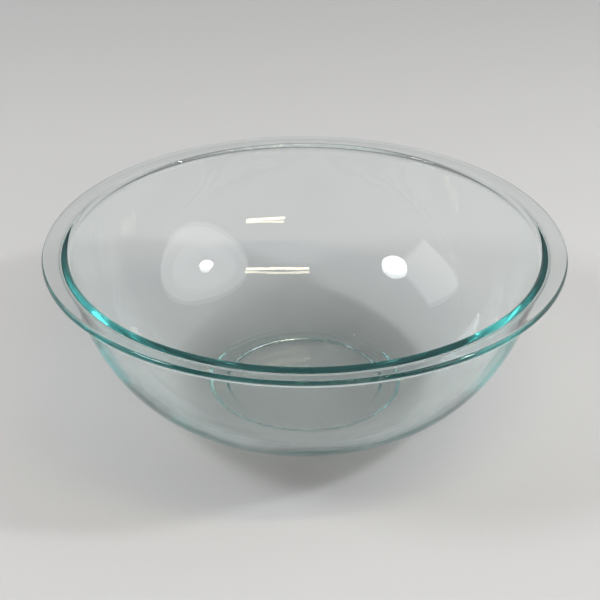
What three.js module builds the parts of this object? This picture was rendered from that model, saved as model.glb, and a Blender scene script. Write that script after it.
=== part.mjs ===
// A glass mixing bowl, pressed in one piece: a flat flange round the mouth, a deep curved wall,
// and a low ring under the bottom that it stands on. Millimetres, +Z up. The origin is the middle of
// the plane that the foot ring rests on, and +Z is the bowl's own axis.
import * as THREE from "three";

// The rim: a flat flange whose outer edge is fully rounded.
const RIM_DIAMETER = 292;
const BOWL_HEIGHT = 102.5; // from the plane under the foot to the flat top of the flange
const FLANGE_REACH = 11.2; // how far the flange stands out from the outside of the wall
const FLANGE_THICKNESS = 4;
const LIP_RADIUS = 2.6; // rounds the flange's top into the inside of the wall
const UNDER_FLANGE_FILLET = 3; // rounds the outside of the wall into the flange's underside

// The wall: its outside is one smooth curve from the foot to the flange. It leaves the foot and meets
// the flange at these slopes from the horizontal, and the fullness says how much of the way out, or of
// the way up, it keeps near each slope.
const WALL_SLOPE_AT_FOOT = THREE.MathUtils.degToRad(15.25);
const WALL_SLOPE_AT_RIM = THREE.MathUtils.degToRad(77.5);
const WALL_FULLNESS_AT_FOOT = 0.66;
const WALL_FULLNESS_AT_RIM = 0.51;

// The glass is thickest at the heel, where the wall turns into the bottom.
const WALL_THICKNESS = 4.4; // under the rim
const HEEL_THICKNESS = 5.8;
const BOTTOM_THICKNESS = 5.2; // in the middle of the bottom
const INSIDE_FLAT_RADIUS = 24; // the middle of the inside stays level out to about here
const HEEL_RUN = 7; // how far in from the heel the inside keeps near the wall's slope

// The foot: a low ring that keeps the middle of the bottom off the table. Its side leans in from the
// wall down to the table, so that the glass leaves its mould.
const FOOT_DIAMETER = 117; // over the top of the ring, where the wall sets off
const FOOT_HEIGHT = 3.1; // from the table to where the wall sets off
const FOOT_SIDE_SLOPE = THREE.MathUtils.degToRad(62); // from the horizontal
const FOOT_EDGE_RADIUS = 1.8; // rounds the side into the flat band that the bowl stands on
const FOOT_FILLET = 3; // rounds the side into the outside of the wall
const FOOT_RING_WIDTH = 10; // from the top of its side in to where the recess begins
const RECESS_DEPTH = 1.6; // how far the middle of the bottom is off the table
const RECESS_SHOULDER = 3.5; // how far the recess's slanting edge runs in from the ring

// Clear glass with a faint green-blue body colour.
const CLEAR_GLASS = { color: 0xd5ece7, roughness: 0.04, metalness: 0, transparent: true, opacity: 0.35 };

// How finely the round shapes are cut into flats.
const FLATS_AROUND = 72;
const WALL_STEPS = 11;
const BOTTOM_STEPS = 4;
const ROUND_STEPS = 3;
const EDGE_STEPS = 6;

const RIGHT_ANGLE = Math.PI / 2;
const rimRadius = RIM_DIAMETER / 2;
const footRadius = FOOT_DIAMETER / 2;
const flangeUnderside = BOWL_HEIGHT - FLANGE_THICKNESS;

// A unit vector in the profile's plane, where x is the radius and y is the height.
function heading(angle) {
  return new THREE.Vector2(Math.cos(angle), Math.sin(angle));
}

// Points on an arc about a centre, both ends included.
function arc(centre, radius, startAngle, endAngle, steps) {
  return Array.from({ length: steps + 1 }, (_, step) => {
    const angle = THREE.MathUtils.lerp(startAngle, endAngle, step / steps);
    return heading(angle).multiplyScalar(radius).add(centre);
  });
}

// The underside of the bottom and the foot ring's band and side, from the axis to the ring's fillet.
function footProfile() {
  const ringInside = footRadius - FOOT_RING_WIDTH;
  const sideBottom = footRadius - FOOT_HEIGHT / Math.tan(FOOT_SIDE_SLOPE);
  const roundReach = FOOT_EDGE_RADIUS * Math.tan(FOOT_SIDE_SLOPE / 2);
  const roundCentre = new THREE.Vector2(sideBottom - roundReach, FOOT_EDGE_RADIUS);
  const roundEnd = FOOT_SIDE_SLOPE - RIGHT_ANGLE;
  return [
    new THREE.Vector2(0, RECESS_DEPTH),
    new THREE.Vector2(ringInside - RECESS_SHOULDER, RECESS_DEPTH),
    new THREE.Vector2(ringInside, 0),
    ...arc(roundCentre, FOOT_EDGE_RADIUS, -RIGHT_ANGLE, roundEnd, ROUND_STEPS),
  ];
}

// The hollow round from the foot's side into the wall's first slope. It begins and ends as far from the
// corner of the two as its radius times the tangent of half the turn.
function footFillet(wallFoot) {
  const reach = FOOT_FILLET * Math.tan((FOOT_SIDE_SLOPE - WALL_SLOPE_AT_FOOT) / 2);
  const outOfSide = heading(FOOT_SIDE_SLOPE - RIGHT_ANGLE).multiplyScalar(FOOT_FILLET);
  const centre = heading(FOOT_SIDE_SLOPE).multiplyScalar(-reach).add(wallFoot).add(outOfSide);
  const fromSide = FOOT_SIDE_SLOPE + RIGHT_ANGLE;
  const intoWall = WALL_SLOPE_AT_FOOT + RIGHT_ANGLE;
  return arc(centre, FOOT_FILLET, fromSide, intoWall, ROUND_STEPS);
}

// The outside of the wall, from the top of the foot ring to the fillet under the flange.
function outerWall() {
  const start = new THREE.Vector2(footRadius, FOOT_HEIGHT);
  const filletRise = UNDER_FLANGE_FILLET * (1 - Math.cos(WALL_SLOPE_AT_RIM));
  const end = new THREE.Vector2(rimRadius - FLANGE_REACH, flangeUnderside - filletRise);
  const outward = (WALL_FULLNESS_AT_FOOT * (end.x - start.x)) / Math.cos(WALL_SLOPE_AT_FOOT);
  const upward = (WALL_FULLNESS_AT_RIM * (end.y - start.y)) / Math.sin(WALL_SLOPE_AT_RIM);
  return new THREE.CubicBezierCurve(
    start,
    heading(WALL_SLOPE_AT_FOOT).multiplyScalar(outward).add(start),
    heading(WALL_SLOPE_AT_RIM).multiplyScalar(-upward).add(end),
    end,
  );
}

// The flange, from the top of the outer wall round the rim's edge to the top of the lip's round.
function flangeProfile(wallTop, lipTop) {
  const outward = heading(WALL_SLOPE_AT_RIM - RIGHT_ANGLE);
  const filletCentre = outward.multiplyScalar(UNDER_FLANGE_FILLET).add(wallTop);
  const wallSide = WALL_SLOPE_AT_RIM + RIGHT_ANGLE;
  const edgeRadius = FLANGE_THICKNESS / 2;
  const edgeCentre = new THREE.Vector2(rimRadius - edgeRadius, BOWL_HEIGHT - edgeRadius);
  return [
    ...arc(filletCentre, UNDER_FLANGE_FILLET, wallSide, RIGHT_ANGLE, ROUND_STEPS).slice(1),
    ...arc(edgeCentre, edgeRadius, -RIGHT_ANGLE, RIGHT_ANGLE, EDGE_STEPS),
    lipTop,
  ];
}

// The inside of the wall, from the heel to the rim: the outside moved in by the glass's thickness, which
// thins evenly from the heel to the rim.
function innerWall(outside) {
  return Array.from({ length: WALL_STEPS + 1 }, (_, step) => {
    const along = step / WALL_STEPS;
    const thickness = THREE.MathUtils.lerp(HEEL_THICKNESS, WALL_THICKNESS, along);
    const inward = outside.getTangent(along).angle() + RIGHT_ANGLE;
    return heading(inward).multiplyScalar(thickness).add(outside.getPoint(along));
  });
}

// The lip's round, from the line of the inner wall to the flat top of the flange.
function lipProfile(wallTop) {
  const towardsCentre = heading(WALL_SLOPE_AT_RIM - RIGHT_ANGLE).multiplyScalar(LIP_RADIUS);
  const centreHeight = BOWL_HEIGHT - LIP_RADIUS;
  const reach = (centreHeight - towardsCentre.y - wallTop.y) / Math.sin(WALL_SLOPE_AT_RIM);
  const centre = heading(WALL_SLOPE_AT_RIM).multiplyScalar(reach).add(wallTop).add(towardsCentre);
  return arc(centre, LIP_RADIUS, WALL_SLOPE_AT_RIM + RIGHT_ANGLE, RIGHT_ANGLE, ROUND_STEPS);
}

// The inside of the bottom, from the axis to the heel, level in the middle and turning up into the wall.
function innerBottom(heel) {
  const floor = RECESS_DEPTH + BOTTOM_THICKNESS;
  const bottom = new THREE.CubicBezierCurve(
    new THREE.Vector2(0, floor),
    new THREE.Vector2(INSIDE_FLAT_RADIUS, floor),
    heading(WALL_SLOPE_AT_FOOT).multiplyScalar(-HEEL_RUN).add(heel),
    heel,
  );
  return bottom.getPoints(BOTTOM_STEPS).slice(0, -1);
}

// One closed profile, from the axis under the bottom, up the outside, over the rim and down the inside.
function bowlProfile() {
  const outside = outerWall();
  const inside = innerWall(outside);
  const lip = lipProfile(inside.at(-1));
  return [
    ...footProfile(),
    ...footFillet(outside.getPoint(0)),
    ...outside.getPoints(WALL_STEPS).slice(1),
    ...flangeProfile(outside.getPoint(1), lip.pop()),
    ...lip.toReversed(),
    ...inside.toReversed(),
    ...innerBottom(inside[0]).toReversed(),
  ];
}

function bowl() {
  const geometry = new THREE.LatheGeometry(bowlProfile(), FLATS_AROUND);
  geometry.rotateX(RIGHT_ANGLE);
  const mesh = new THREE.Mesh(geometry, new THREE.MeshStandardMaterial(CLEAR_GLASS));
  mesh.name = "bowl";
  return mesh;
}

const mixingBowl = new THREE.Group();
mixingBowl.add(bowl());

export default mixingBowl;
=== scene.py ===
"""Looks of a glass mixing bowl: its fine glass surface, its finish and a plain studio round it.

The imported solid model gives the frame. Every length is in metres in that frame: the origin is the middle of
the plane that the foot ring rests on, and +Z is the bowl's own axis. The bowl's section is a row of points,
each with a radius and a height.
"""

import logging
import math
from dataclasses import dataclass
from enum import Enum

import bpy
import numpy as np
from mathutils import Matrix, Vector


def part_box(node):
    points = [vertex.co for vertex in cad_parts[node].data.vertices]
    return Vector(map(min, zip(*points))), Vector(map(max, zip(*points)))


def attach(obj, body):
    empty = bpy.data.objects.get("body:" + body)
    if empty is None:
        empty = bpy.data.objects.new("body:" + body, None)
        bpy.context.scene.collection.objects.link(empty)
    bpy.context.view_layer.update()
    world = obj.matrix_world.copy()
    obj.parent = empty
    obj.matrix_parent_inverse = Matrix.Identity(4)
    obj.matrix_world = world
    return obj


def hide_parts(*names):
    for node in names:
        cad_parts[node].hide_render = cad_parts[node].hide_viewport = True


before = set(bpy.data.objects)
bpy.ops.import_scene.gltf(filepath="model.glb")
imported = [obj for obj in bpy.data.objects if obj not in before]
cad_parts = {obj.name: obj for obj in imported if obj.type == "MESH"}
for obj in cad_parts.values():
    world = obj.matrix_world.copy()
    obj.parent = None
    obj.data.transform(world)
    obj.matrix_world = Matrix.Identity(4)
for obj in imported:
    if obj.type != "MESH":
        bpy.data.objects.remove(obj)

LOG = logging.getLogger("mixing_bowl")
MM = 0.001
RIGHT_ANGLE = math.pi / 2
FULL_TURN = 2 * math.pi
LEVEL = (1.0, 1.0, 0.0)  # times a place, this drops its height
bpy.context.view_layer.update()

Rows = np.ndarray
Colour = tuple[float, float, float, float]
Light = tuple[float, float, float]
Point = tuple[float, float, float]
Socket = bpy.types.NodeSocket


def heading(angle: float) -> Rows:
    """The unit vector at an angle in the section's plane: its cosine and its sine."""
    return np.array([math.cos(angle), math.sin(angle)])


def arc(centre: Rows, radius: float, start: float, end: float, steps: int) -> Rows:
    """Points on a circle: centre plus radius times the heading, as the angle goes evenly from start to end.

    Args:
        centre: The circle's middle, as radius and height.
        radius: The circle's radius.
        start: The first point's angle, in radians.
        end: The last point's angle.
        steps: How many equal steps the arc takes.

    Returns:
        The points, one row each, both ends included.
    """
    angle = np.linspace(start, end, steps + 1)
    return centre + radius * np.stack([np.cos(angle), np.sin(angle)], axis=-1)


def line(start: Rows, end: Rows, steps: int) -> Rows:
    """Points at even steps on the straight way from start to end, both included."""
    along = np.linspace(0.0, 1.0, steps + 1)[:, None]
    return (1.0 - along) * start + along * end


def bezier(start: Rows, leave: Rows, arrive: Rows, end: Rows, steps: int) -> tuple[Rows, Rows]:
    """A cubic curve: the four points weighted by (1-t)^3, 3t(1-t)^2, 3t^2(1-t) and t^3.

    Args:
        start: The first point, as radius and height.
        leave: The point that the curve sets off towards.
        arrive: The point that the curve comes in from.
        end: The last point.
        steps: How many even steps of t the curve takes.

    Returns:
        The points, and the unit tangent at each.
    """
    t = np.linspace(0.0, 1.0, steps + 1)[:, None]
    s = 1.0 - t
    points = s**3 * start + 3 * t * s**2 * leave + 3 * t**2 * s * arrive + t**3 * end
    rate = s**2 * (leave - start) + 2 * t * s * (arrive - leave) + t**2 * (end - arrive)
    return points, rate / np.linalg.norm(rate, axis=1, keepdims=True)


def smooth_step(value: Rows, low: float, high: float) -> Rows:
    """3x^2 - 2x^3 of the value's place between low and high: 0 below low, 1 above high."""
    x = np.clip((value - low) / (high - low), 0.0, 1.0)
    return x * x * (3.0 - 2.0 * x)


class NodeBench:
    """A node tree with short ways to add nodes and wire them."""

    def __init__(self, tree: bpy.types.NodeTree) -> None:
        """Takes the tree to work on."""
        self.tree = tree

    def feed(self, socket: Socket, value: object) -> None:
        """Wires an output to an input socket, or sets a plain value on it.

        Args:
            socket: The input socket.
            value: The output to wire, or the value to set.
        """
        if isinstance(value, bpy.types.NodeSocket):
            self.tree.links.new(value, socket)
        else:
            socket.default_value = value

    def add(self, kind: str, inputs: dict[str | int, object], **options: object) -> bpy.types.Node:
        """Adds a node.

        Args:
            kind: The node's type, without its leading "ShaderNode".
            inputs: What each input gets, by name or number: an output is wired, a plain value is set.
            options: The node's own options, such as its operation.

        Returns:
            The new node.
        """
        node = self.tree.nodes.new("ShaderNode" + kind)
        for name, value in options.items():
            setattr(node, name, value)
        for key, value in inputs.items():
            self.feed(node.inputs[key], value)
        return node

    def maths(self, operation: str, *values: object) -> Socket:
        """One step of arithmetic on outputs or numbers, under the Math node's own names."""
        return self.add("Math", dict(enumerate(values)), operation=operation).outputs[0]

    def ramp(self, value: Socket, low: float, high: float) -> Socket:
        """Smooth step of the value between low and high, from 0 to 1."""
        limits = {"Value": value, "From Min": low, "From Max": high}
        return self.add("MapRange", limits, interpolation_type="SMOOTHSTEP").outputs["Result"]

    def noise(self, place: Socket, size: float, detail: float, twist: float = 0.0) -> Socket:
        """Soft random patches about as large as size, from 0 to 1, with finer ones by the detail."""
        inputs = {"Vector": place, "Scale": 1.0 / size, "Detail": detail, "Distortion": twist}
        return self.add("TexNoise", inputs).outputs["Fac"]

    def seen(self) -> Socket:
        """Tells the rays that the eye sees from those that only bring light.

        Returns:
            1 for a ray that goes to the eye straight, off a glossy face or through glass, else 0.
        """
        rays = self.add("LightPath", {}).outputs
        mirrored = self.maths("MAXIMUM", rays["Is Glossy Ray"], rays["Is Transmission Ray"])
        return self.maths("MAXIMUM", rays["Is Camera Ray"], mirrored)


@dataclass(frozen=True)
class GlassFinish:
    """Clear pressed glass: polished faces, a green-blue body colour, and the fine wear of kitchen use."""

    name: str = "clear_pressed_glass"
    index: float = 1.5
    clear: Colour = (0.985, 0.995, 0.994, 1.0)
    filmed: Colour = (0.965, 0.978, 0.976, 1.0)
    body_colour: Colour = (0.27, 0.67, 0.66, 1.0)
    body_density: float = 13.0
    polish: float = 0.004
    smear: float = 0.035
    scuff: float = 0.3
    smear_size: float = 45.0 * MM
    smear_detail: float = 5.0
    smear_twist: float = 0.8
    smear_from: float = 0.5
    smear_full: float = 0.78
    grit_size: float = 1.1 * MM
    grit_detail: float = 3.0
    scratch_pitch: float = 0.5 * MM
    scratch_reach: float = 0.25
    scratch_detail: float = 2.0
    scratch_from: float = 0.58
    scratch_full: float = 0.7
    ripple_size: float = 9.0 * MM
    ripple_detail: float = 1.0
    ripple_height: float = 0.012 * MM

    def stirring_marks(self, bench: NodeBench, place: Socket) -> Socket:
        """Fine arcs round the axis, as spoons leave: noise that changes fast outwards and slowly round.

        Args:
            bench: The material's nodes.
            place: The place on the piece.

        Returns:
            1 on an arc and 0 between arcs.
        """
        flat = bench.add("VectorMath", {0: place, 1: LEVEL}, operation="MULTIPLY").outputs[0]
        radius = bench.add("VectorMath", {0: flat}, operation="LENGTH").outputs["Value"]
        around = bench.add("VectorMath", {0: flat}, operation="NORMALIZE").outputs[0]
        slowly = {0: around, "Scale": 1.0 / self.scratch_reach}
        round_trip = bench.add("VectorMath", slowly, operation="SCALE")
        outwards = bench.add("CombineXYZ", {"Z": bench.maths("DIVIDE", radius, self.scratch_pitch)})
        both = {0: round_trip.outputs[0], 1: outwards.outputs[0]}
        spiral = bench.add("VectorMath", both, operation="ADD").outputs[0]
        arcs = bench.noise(spiral, 1.0, self.scratch_detail)
        return bench.ramp(arcs, self.scratch_from, self.scratch_full)

    def roughness(self, bench: NodeBench, place: Socket, film: Socket) -> Socket:
        """Polish, plus smears where there is film, plus grit and stirring marks where the glass is worn.

        Args:
            bench: The material's nodes.
            place: The place on the piece.
            film: How much film lies on the glass.

        Returns:
            The roughness.
        """
        worn = bench.add("Attribute", {}, attribute_name="wear").outputs["Fac"]
        grit = bench.noise(place, self.grit_size, self.grit_detail)
        marks = bench.maths("MAXIMUM", grit, self.stirring_marks(bench, place))
        scuffed = bench.maths("MULTIPLY", bench.maths("MULTIPLY", worn, marks), self.scuff)
        return bench.maths("ADD", bench.maths("MULTIPLY_ADD", film, self.smear, self.polish), scuffed)

    def material(self) -> bpy.types.Material:
        """Makes the glass.

        Returns:
            A material whose roughness comes from smears and wear, and whose faces ripple faintly.
        """
        made = bpy.data.materials.new(self.name)
        made.use_nodes = True
        bench = NodeBench(made.node_tree)
        place = bench.add("TexCoord", {}).outputs["Object"]
        smears = bench.noise(place, self.smear_size, self.smear_detail, self.smear_twist)
        film = bench.ramp(smears, self.smear_from, self.smear_full)
        tint = bench.add("Mix", {"Factor": film}, data_type="RGBA")
        tint.inputs["A"].default_value = self.clear
        tint.inputs["B"].default_value = self.filmed
        ripple = bench.noise(place, self.ripple_size, self.ripple_detail)
        uneven = bench.add("Bump", {"Height": ripple, "Distance": self.ripple_height})

        shader = made.node_tree.nodes["Principled BSDF"]
        shader.inputs["IOR"].default_value = self.index
        shader.inputs["Transmission Weight"].default_value = 1.0
        bench.feed(shader.inputs["Base Color"], tint.outputs["Result"])
        bench.feed(shader.inputs["Roughness"], self.roughness(bench, place, film))
        bench.feed(shader.inputs["Normal"], uneven.outputs["Normal"])

        body = bench.add("VolumeAbsorption", {"Color": self.body_colour, "Density": self.body_density})
        bench.feed(made.node_tree.nodes["Material Output"].inputs["Volume"], body.outputs["Volume"])
        return made


class Stretch(Enum):
    """The stretches of the bowl's section, in the order that the section meets them."""

    RECESS = 0
    FOOT = 1
    OUTER_WALL = 2
    FLANGE = 3
    LIP = 4
    INNER_WALL = 5
    BOTTOM = 6


@dataclass(frozen=True)
class Fineness:
    """How many steps each stretch of the section takes, and how many columns go round."""

    level: int = 14
    shoulder: int = 14
    band: int = 5
    edge_round: int = 9
    foot_fillet: int = 6
    wall: int = 72
    flange_fillet: int = 10
    underside: int = 5
    rim_edge: int = 26
    flange_top: int = 8
    lip: int = 14
    bottom: int = 26
    columns: int = 320


@dataclass
class PressedBowl:
    """The bowl's fine glass surface, in place of its faceted solid.

    The section runs from the axis under the bottom, over the foot ring, up the outside, round the rim and
    down the inside to the axis again. The surface is that section carried once round the axis.
    """

    rim_radius: float
    height: float
    flange_reach: float = 11.2 * MM
    flange_thickness: float = 4.0 * MM
    lip_radius: float = 2.6 * MM
    under_flange_fillet: float = 3.0 * MM
    slope_at_foot: float = math.radians(15.25)
    slope_at_rim: float = math.radians(77.5)
    fullness_at_foot: float = 0.66
    fullness_at_rim: float = 0.51
    wall_thickness: float = 4.4 * MM
    heel_thickness: float = 5.8 * MM
    bottom_thickness: float = 5.2 * MM
    inside_flat_radius: float = 24.0 * MM
    heel_run: float = 7.0 * MM
    foot_radius: float = 58.5 * MM
    foot_height: float = 3.1 * MM
    foot_side_slope: float = math.radians(62.0)
    foot_edge_radius: float = 1.8 * MM
    foot_fillet: float = 3.0 * MM
    foot_ring_width: float = 10.0 * MM
    recess_depth: float = 1.6 * MM
    recess_shoulder: float = 3.5 * MM
    wave_height: float = 0.03 * MM
    waves_round: tuple[int, ...] = (3, 5, 8, 13, 19)
    wave_lengths: tuple[float, ...] = (0.16, 0.11, 0.075, 0.05, 0.034)
    wave_seed: int = 7
    still_radius: float = 20.0 * MM
    wavy_radius: float = 60.0 * MM
    stirred_wear: float = 0.2
    stirred_radius: float = 50.0 * MM
    unworn_radius: float = 100.0 * MM
    standing_height: float = 0.6 * MM
    steps: Fineness = Fineness()

    def recess(self) -> Rows:
        """The underside's middle: level from the axis, then half a cosine wave down to the foot ring.

        Returns:
            The points from the axis to the inside of the foot's band.
        """
        inside = self.foot_radius - self.foot_ring_width
        corner = np.array([inside - self.recess_shoulder, self.recess_depth])
        level = line(np.array([0.0, self.recess_depth]), corner, self.steps.level)
        fall = np.linspace(0.0, math.pi, self.steps.shoulder + 1)[1:]
        radius = corner[0] + self.recess_shoulder * fall / math.pi
        height = self.recess_depth * (1.0 + np.cos(fall)) / 2
        return np.concatenate([level, np.stack([radius, height], axis=-1)])

    def foot(self) -> Rows:
        """The foot ring: a flat band, a round, a side that leans out, and a hollow fillet into the wall.

        Each round touches the two straight lines that it joins, so it begins as far from their corner as
        its radius times the tangent of half the turn.

        Returns:
            The points from the band to the wall's line.
        """
        side = heading(self.foot_side_slope)
        wall_foot = np.array([self.foot_radius, self.foot_height])
        corner = wall_foot - self.foot_height / side[1] * side
        edge_reach = self.foot_edge_radius * math.tan(self.foot_side_slope / 2)
        edge_centre = corner + np.array([-edge_reach, self.foot_edge_radius])
        into_side = self.foot_side_slope - RIGHT_ANGLE
        turn = arc(edge_centre, self.foot_edge_radius, -RIGHT_ANGLE, into_side, self.steps.edge_round)
        band_inside = np.array([self.foot_radius - self.foot_ring_width, 0.0])
        band = line(band_inside, turn[0], self.steps.band)

        fillet_reach = self.foot_fillet * math.tan((self.foot_side_slope - self.slope_at_foot) / 2)
        outward = heading(into_side)
        fillet_centre = wall_foot - fillet_reach * side + self.foot_fillet * outward
        from_side, into_wall = self.foot_side_slope + RIGHT_ANGLE, self.slope_at_foot + RIGHT_ANGLE
        fillet = arc(fillet_centre, self.foot_fillet, from_side, into_wall, self.steps.foot_fillet)
        return np.concatenate([band[1:], turn[1:], fillet])

    def outer_wall(self) -> tuple[Rows, Rows]:
        """The outside of the wall: one cubic curve from the foot to the fillet under the flange.

        Returns:
            The points, and the unit tangent at each.
        """
        start = np.array([self.foot_radius, self.foot_height])
        rise = self.under_flange_fillet * (1.0 - math.cos(self.slope_at_rim))
        end = np.array([self.rim_radius - self.flange_reach, self.height - self.flange_thickness - rise])
        outward = self.fullness_at_foot * (end[0] - start[0]) / math.cos(self.slope_at_foot)
        upward = self.fullness_at_rim * (end[1] - start[1]) / math.sin(self.slope_at_rim)
        leave = start + outward * heading(self.slope_at_foot)
        arrive = end - upward * heading(self.slope_at_rim)
        return bezier(start, leave, arrive, end, self.steps.wall)

    def flange(self, wall_top: Rows, lip_top: Rows) -> Rows:
        """The flange: a hollow fillet, the flat underside, the half-round edge and the flat top.

        Args:
            wall_top: The last point of the outer wall.
            lip_top: Where the lip's round leaves the flat top.

        Returns:
            The points from the fillet to the last one before the lip.
        """
        centre = wall_top + self.under_flange_fillet * heading(self.slope_at_rim - RIGHT_ANGLE)
        from_wall = self.slope_at_rim + RIGHT_ANGLE
        fillet = arc(centre, self.under_flange_fillet, from_wall, RIGHT_ANGLE, self.steps.flange_fillet)
        radius = self.flange_thickness / 2
        edge_centre = np.array([self.rim_radius - radius, self.height - radius])
        edge = arc(edge_centre, radius, -RIGHT_ANGLE, RIGHT_ANGLE, self.steps.rim_edge)
        underside = line(fillet[-1], edge[0], self.steps.underside)
        top = line(edge[-1], lip_top, self.steps.flange_top)
        return np.concatenate([fillet[1:], underside[1:], edge[1:], top[1:-1]])

    def inner_wall(self, outside: Rows, tangents: Rows) -> Rows:
        """The inside of the wall: the outside moved in along its normal by the glass's thickness there.

        Args:
            outside: The points of the outer wall, from the foot to the flange.
            tangents: The unit tangent at each.

        Returns:
            The points, from the heel to the lip.
        """
        along = np.linspace(0.0, 1.0, len(outside))[:, None]
        thickness = (1.0 - along) * self.heel_thickness + along * self.wall_thickness
        inward = np.stack([-tangents[:, 1], tangents[:, 0]], axis=-1)
        return outside + thickness * inward

    def lip(self, wall_top: Rows) -> Rows:
        """The lip: a round that touches the inner wall's line and the flat top of the flange.

        Args:
            wall_top: The last point of the inner wall.

        Returns:
            The points, from the wall's line to the flat top.
        """
        to_centre = self.lip_radius * heading(self.slope_at_rim - RIGHT_ANGLE)
        reach = (self.height - self.lip_radius - to_centre[1] - wall_top[1]) / math.sin(self.slope_at_rim)
        centre = wall_top + reach * heading(self.slope_at_rim) + to_centre
        return arc(centre, self.lip_radius, self.slope_at_rim + RIGHT_ANGLE, RIGHT_ANGLE, self.steps.lip)

    def inner_bottom(self, heel: Rows) -> Rows:
        """The inside of the bottom: a cubic curve from the axis, level at first, up to the wall's slope.

        Args:
            heel: The first point of the inner wall.

        Returns:
            The points, from the axis to the heel.
        """
        floor = self.recess_depth + self.bottom_thickness
        middle = np.array([0.0, floor])
        level = np.array([self.inside_flat_radius, floor])
        towards_heel = heel - self.heel_run * heading(self.slope_at_foot)
        return bezier(middle, level, towards_heel, heel, self.steps.bottom)[0]

    def section(self) -> tuple[Rows, Rows]:
        """Works out the whole section.

        Returns:
            The points as radius and height, and the number of the stretch that each belongs to.
        """
        outside, tangents = self.outer_wall()
        inside = self.inner_wall(outside, tangents)
        lip = self.lip(inside[-1])
        stretches = {
            Stretch.RECESS: self.recess(),
            Stretch.FOOT: self.foot(),
            Stretch.OUTER_WALL: outside[1:],
            Stretch.FLANGE: self.flange(outside[-1], lip[-1]),
            Stretch.LIP: lip[::-1],
            Stretch.INNER_WALL: inside[::-1],
            Stretch.BOTTOM: self.inner_bottom(inside[0])[-2::-1],
        }
        points = np.concatenate(list(stretches.values()))
        marks = np.concatenate([np.full(len(rows), key.value) for key, rows in stretches.items()])
        return points, marks

    def waves(self, radius: Rows, along: Rows, angle: Rows, marks: Rows) -> Rows:
        """How far each point of the surface stands off its true place, as a pressed face does.

        The height is a sum of products of two cosines, one of the angle with whole numbers of waves round
        the bowl, and one of the way along the section. Long waves are higher. It fades out at the foot,
        where the bowl stands, and near the axis.

        Args:
            radius: The radius of each section point.
            along: The way along the section to each point.
            angle: The angle of each column.
            marks: The stretch of each section point.

        Returns:
            The heights, one row for each column and one entry for each section point.
        """
        count = len(self.waves_round)
        turn, shift = np.random.default_rng(self.wave_seed).uniform(0.0, FULL_TURN, (2, count, 1, 1))
        lengths = np.array(self.wave_lengths)[:, None, None]
        around = np.cos(np.array(self.waves_round)[:, None, None] * angle[None, :, None] + turn)
        down = np.cos(FULL_TURN * along[None, None, :] / lengths + shift)
        heights = self.wave_height * np.sum(around * down * lengths / lengths.max(), axis=0)
        free = smooth_step(radius, self.still_radius, self.wavy_radius)
        free[np.isin(marks, (Stretch.RECESS.value, Stretch.FOOT.value))] = 0.0
        return heights * free[None, :]

    def wear(self, points: Rows, marks: Rows) -> Rows:
        """How worn the glass is: most on the foot's band, less inside where spoons run.

        Args:
            points: The section points, as radius and height.
            marks: The stretch of each.

        Returns:
            The wear of each point, from 0 to 1.
        """
        radius, height = points[:, 0], points[:, 1]
        inside = np.isin(marks, (Stretch.BOTTOM.value, Stretch.INNER_WALL.value))
        near_axis = 1.0 - smooth_step(radius, self.stirred_radius, self.unworn_radius)
        standing = (marks == Stretch.FOOT.value) * (1.0 - smooth_step(height, 0.0, self.standing_height))
        return np.maximum(self.stirred_wear * near_axis * inside, standing)

    @staticmethod
    def faces(columns: int, rows: int) -> list[list[int]]:
        """Joins the surface's points by faces that point out of the glass.

        The points are numbered down one column after the other, and the two points on the axis come last.
        Neighbouring columns are joined by quads, and their ends by triangles to the points on the axis.

        Args:
            columns: How many columns go round.
            rows: How many points each column has.

        Returns:
            The point numbers of each face.
        """
        here = np.arange(columns)[:, None] * rows
        there = np.roll(here, -1, axis=0)
        row = np.arange(rows - 1)[None, :]
        quads = np.stack([here + row, there + row, there + row + 1, here + row + 1], axis=-1).reshape(-1, 4)
        first, following = here[:, 0], there[:, 0]
        under, floor = np.full((2, columns), [[columns * rows], [columns * rows + 1]])
        under_fan = np.stack([under, following, first], axis=-1)
        floor_fan = np.stack([floor, first + rows - 1, following + rows - 1], axis=-1)
        return quads.tolist() + under_fan.tolist() + floor_fan.tolist()

    def surface(self) -> tuple[Rows, list[list[int]], Rows]:
        """Carries the section round the axis.

        Each point is its section point at radius r, moved off along the section's normal by the waves, and
        set at (r cos a, r sin a, height) for even angles a. The two ends on the axis are single points.

        Returns:
            The vertices, the faces pointing out of the glass, and each vertex's wear.
        """
        points, marks = self.section()
        ring, ring_marks = points[1:-1], marks[1:-1]
        step = np.gradient(points, axis=0)[1:-1]
        normal = np.stack([step[:, 1], -step[:, 0]], axis=-1)
        normal /= np.linalg.norm(normal, axis=1, keepdims=True)
        along = np.cumsum(np.linalg.norm(np.diff(points, axis=0), axis=1))[:-1]
        columns = self.steps.columns
        angle = np.linspace(0.0, FULL_TURN, columns, endpoint=False)
        off = self.waves(ring[:, 0], along, angle, ring_marks)
        radius = ring[None, :, 0] + off * normal[None, :, 0]
        height = ring[None, :, 1] + off * normal[None, :, 1]
        grid = np.stack([radius * np.cos(angle)[:, None], radius * np.sin(angle)[:, None], height], axis=-1)
        poles = np.array([[0.0, 0.0, points[0, 1]], [0.0, 0.0, points[-1, 1]]])
        vertices = np.concatenate([grid.reshape(-1, 3), poles])
        worn = self.wear(ring, ring_marks)
        all_worn = np.concatenate([np.tile(worn, columns), [worn[0], worn[-1]]])
        return vertices, self.faces(columns, len(ring)), all_worn

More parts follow.
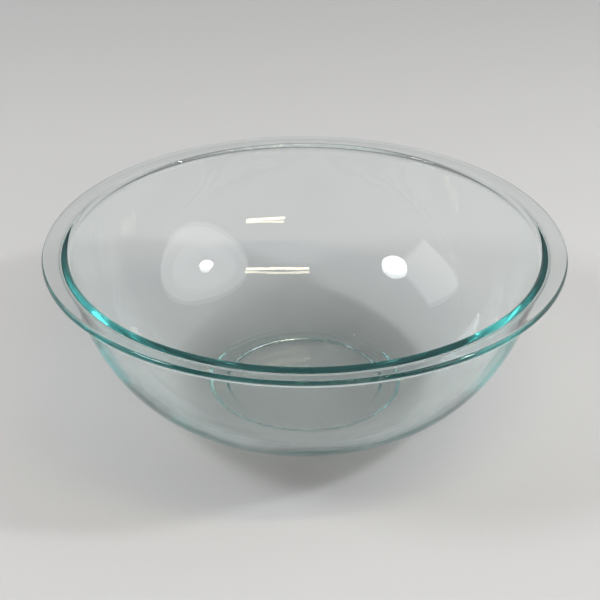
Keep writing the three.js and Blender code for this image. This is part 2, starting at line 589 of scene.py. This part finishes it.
    def build(self, finish: GlassFinish) -> bpy.types.Object:
        """Makes the glass piece and puts it in the place of the solid node.

        Args:
            finish: The glass that the bowl is made of.

        Returns:
            The finished piece, riding on the part's one body.
        """
        vertices, faces, worn = self.surface()
        mesh = bpy.data.meshes.new("bowl_glass")
        mesh.from_pydata(vertices.tolist(), [], faces)
        mesh.attributes.new("wear", "FLOAT", "POINT").data.foreach_set("value", worn)
        mesh.shade_smooth()
        mesh.materials.append(finish.material())
        piece = bpy.data.objects.new(mesh.name, mesh)
        bpy.context.scene.collection.objects.link(piece)
        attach(piece, "root")
        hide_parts("bowl")
        LOG.info("%s: %d vertices, %d faces", piece.name, len(vertices), len(faces))
        return piece


class LampFace(Enum):
    """The outlines that a lamp's face can have."""

    OVAL = "ELLIPSE"
    OBLONG = "RECTANGLE"


WHITE: Light = (1.0, 1.0, 1.0)
WARM: Light = (1.0, 0.86, 0.62)


@dataclass(frozen=True)
class Lamp:
    """A soft lamp: its face's outline, its place, its length and width, its power and its colour.

    A lamp of several layers has smaller faces nested in its face, so it is brightest in the middle.
    """

    name: str
    face: LampFace
    place: Point
    size: tuple[float, float]
    power: float
    along: Point
    colour: Light = WHITE
    layers: int = 1
    aim: Point = (0.0, 0.0, 50.0 * MM)

    def build(self) -> None:
        """Hangs the lamp's faces, turned to its aim, with their length along the lamp's own direction.

        The sizes of the faces go up evenly, and each has its share of the power by its area, so the
        brightness goes down in even steps from the middle to the edge.
        """
        back = (Vector(self.place) - Vector(self.aim)).normalized()
        across = back.cross(Vector(self.along)).normalized()
        turn = Matrix((across.cross(back), across, back)).transposed().to_4x4()
        shares = np.arange(1, self.layers + 1) / self.layers
        powers = self.power * shares**2 / np.sum(shares**2)
        for share, power in zip(shares.tolist(), powers.tolist()):
            light = bpy.data.lights.new(self.name, "AREA")
            light.shape = self.face.value
            light.size, light.size_y = (share * length for length in self.size)
            light.energy = power
            light.color = self.colour
            holder = bpy.data.objects.new(self.name, light)
            holder.matrix_world = Matrix.Translation(self.place) @ turn
            holder.visible_camera = False
            bpy.context.scene.collection.objects.link(holder)


ROUND_LAMP_ALONG: Point = (-0.28, 0.81, 0.52)

# A large round lamp with a bright heart, a small lamp and a panel that face it, and two warm strips.
LAMPS = (
    Lamp(
        name="round_lamp",
        face=LampFace.OVAL,
        place=(1.17, -0.21, 1.005),
        size=(1.61, 1.43),
        power=8.0,
        along=ROUND_LAMP_ALONG,
    ),
    Lamp(
        name="round_lamp_middle",
        face=LampFace.OVAL,
        place=(1.13, -0.2, 1.02),
        size=(1.0, 1.0),
        power=3.6,
        along=ROUND_LAMP_ALONG,
        layers=6,
    ),
    Lamp(
        name="round_lamp_heart",
        face=LampFace.OVAL,
        place=(1.09, -0.257, 1.02),
        size=(0.18, 0.18),
        power=5.8,
        along=ROUND_LAMP_ALONG,
        layers=3,
    ),
    Lamp(
        name="side_lamp",
        face=LampFace.OVAL,
        place=(-1.049, -0.313, 1.127),
        size=(0.43, 0.36),
        power=5.8,
        along=(0.2, 0.85, 0.48),
    ),
    Lamp(
        name="side_panel",
        face=LampFace.OBLONG,
        place=(-1.3, 0.1, 0.85),
        size=(1.0, 0.7),
        power=5.6,
        along=(0.0, 1.0, 0.0),
        layers=4,
    ),
    Lamp(
        name="near_strip",
        face=LampFace.OBLONG,
        place=(0.355, -0.5, 1.625),
        size=(0.85, 0.07),
        power=4.4,
        along=(-0.83, -0.09, 0.17),
        colour=WARM,
    ),
    Lamp(
        name="far_strip",
        face=LampFace.OBLONG,
        place=(0.85, -1.955, 1.055),
        size=(0.88, 0.06),
        power=3.4,
        along=(-0.82, -0.29, 0.11),
        colour=WARM,
    ),
)


@dataclass
class Studio:
    """A pale floor that runs into a pale room, soft lamps, and the camera."""

    floor_radius: float = 6.0
    floor_drop: float = 0.2 * MM
    floor_colour: Colour = (0.575, 0.58, 0.59, 1.0)
    floor_roughness: float = 0.85
    floor_rings: tuple[float, ...] = (0.02, 0.05, 0.1, 0.25, 0.5, 1.0)
    floor_columns: int = 96
    fade_from: float = 0.5
    fade_full: float = 2.2
    room_colour: Colour = (0.56, 0.56, 0.56, 1.0)
    upper_room_colour: Colour = (0.2, 0.2, 0.2, 1.0)
    upper_room_from: float = 0.02
    upper_room_full: float = 0.7
    room_light_colour: Colour = (1.0, 1.0, 1.0, 1.0)
    room_light: float = 0.37
    bounces: int = 64
    camera_back: float = 601.3 * MM
    camera_above_rim: float = 311.6 * MM
    camera_left: float = 2.57 * MM
    camera_dip: float = math.radians(30.45)
    focal_pixels: float = 1200.0
    image_pixels: float = 600.0
    lamps: tuple[Lamp, ...] = LAMPS

    def floor_material(self) -> bpy.types.Material:
        """A matt floor that fades into the room's colour far from the bowl, where the eye sees it.

        Returns:
            The material.
        """
        made = bpy.data.materials.new("pale_floor")
        made.use_nodes = True
        bench = NodeBench(made.node_tree)
        matt = made.node_tree.nodes["Principled BSDF"]
        matt.inputs["Base Color"].default_value = self.floor_colour
        matt.inputs["Roughness"].default_value = self.floor_roughness
        place = bench.add("TexCoord", {}).outputs["Object"]
        away = bench.add("VectorMath", {0: place}, operation="LENGTH").outputs["Value"]
        faded = bench.maths("MULTIPLY", bench.ramp(away, self.fade_from, self.fade_full), bench.seen())
        room = bench.add("Emission", {"Color": self.room_colour})
        blend = bench.add("MixShader", {"Fac": faded, 1: matt.outputs["BSDF"], 2: room.outputs["Emission"]})
        bench.feed(made.node_tree.nodes["Material Output"].inputs["Surface"], blend.outputs["Shader"])
        return made

    def floor(self) -> None:
        """Lays a round floor just under the foot: rings at shares of its radius, points at even angles."""
        angle = np.linspace(0.0, FULL_TURN, self.floor_columns, endpoint=False)
        radius = self.floor_radius * np.array(self.floor_rings)[:, None]
        flat = np.full((len(self.floor_rings), self.floor_columns), -self.floor_drop)
        grid = np.stack([radius * np.cos(angle), radius * np.sin(angle), flat], axis=-1)
        vertices = np.concatenate([grid.reshape(-1, 3), [[0.0, 0.0, -self.floor_drop]]])
        here = np.arange(self.floor_columns)
        there = np.roll(here, -1)
        inner = np.arange(len(self.floor_rings) - 1)[:, None] * self.floor_columns
        outer = inner + self.floor_columns
        quads = np.stack([inner + here, outer + here, outer + there, inner + there], axis=-1).reshape(-1, 4)
        middle = np.stack([np.full(self.floor_columns, len(vertices) - 1), here, there], axis=-1)
        mesh = bpy.data.meshes.new("floor")
        mesh.from_pydata(vertices.tolist(), [], quads.tolist() + middle.tolist())
        mesh.materials.append(self.floor_material())
        floor = bpy.data.objects.new("floor", mesh)
        bpy.context.scene.collection.objects.link(floor)

    def room(self) -> None:
        """Gives the world a colour to look at, pale and darker high up, and a plain light of its own."""
        world = bpy.data.worlds.new("pale_room")
        bpy.context.scene.world = world
        world.use_nodes = True
        bench = NodeBench(world.node_tree)
        light = world.node_tree.nodes["Background"]
        light.inputs["Color"].default_value = self.room_light_colour
        light.inputs["Strength"].default_value = self.room_light
        way = bench.add("TexCoord", {}).outputs["Generated"]
        upwards = bench.add("SeparateXYZ", {"Vector": way}).outputs["Z"]
        high = bench.ramp(upwards, self.upper_room_from, self.upper_room_full)
        shade = bench.add("Mix", {"Factor": high}, data_type="RGBA")
        shade.inputs["A"].default_value = self.room_colour
        shade.inputs["B"].default_value = self.upper_room_colour
        pale = bench.add("Background", {"Color": shade.outputs["Result"]})
        either = {"Fac": bench.seen(), 1: light.outputs["Background"], 2: pale.outputs["Background"]}
        choice = bench.add("MixShader", either).outputs["Shader"]
        bench.feed(world.node_tree.nodes["World Output"].inputs["Surface"], choice)

    def camera(self, rim_height: float) -> None:
        """Sets up the camera at the photograph's viewing angle.

        Args:
            rim_height: The height of the bowl's rim, from which the camera's height counts.
        """
        lens = bpy.data.cameras.new("camera")
        lens.lens = lens.sensor_width * self.focal_pixels / self.image_pixels
        holder = bpy.data.objects.new("camera", lens)
        holder.location = (-self.camera_left, -self.camera_back, rim_height + self.camera_above_rim)
        holder.rotation_euler = (RIGHT_ANGLE - self.camera_dip, 0.0, 0.0)
        bpy.context.scene.collection.objects.link(holder)
        bpy.context.scene.camera = holder

    def build(self, rim_height: float) -> None:
        """Sets up the whole studio, with enough bounces for light that runs along inside the glass.

        Args:
            rim_height: The height of the bowl's rim.
        """
        self.floor()
        self.room()
        self.camera(rim_height)
        for lamp in self.lamps:
            lamp.build()
        scene = bpy.context.scene
        scene.view_settings.view_transform = "Standard"
        scene.cycles.max_bounces = self.bounces
        scene.cycles.transmission_bounces = self.bounces
        scene.cycles.glossy_bounces = self.bounces
        LOG.info("studio: floor, room, camera and %d lamps", len(self.lamps))


def main() -> None:
    """Builds the bowl and the studio."""
    logging.basicConfig(level=logging.INFO, format="%(name)s: %(message)s")
    low, high = (np.array(corner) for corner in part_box("bowl"))
    bowl = PressedBowl(rim_radius=float(high[0] - low[0]) / 2, height=float(high[2] - low[2]))
    bowl.build(GlassFinish())
    Studio().build(bowl.height)


if __name__ == "__main__":
    main()
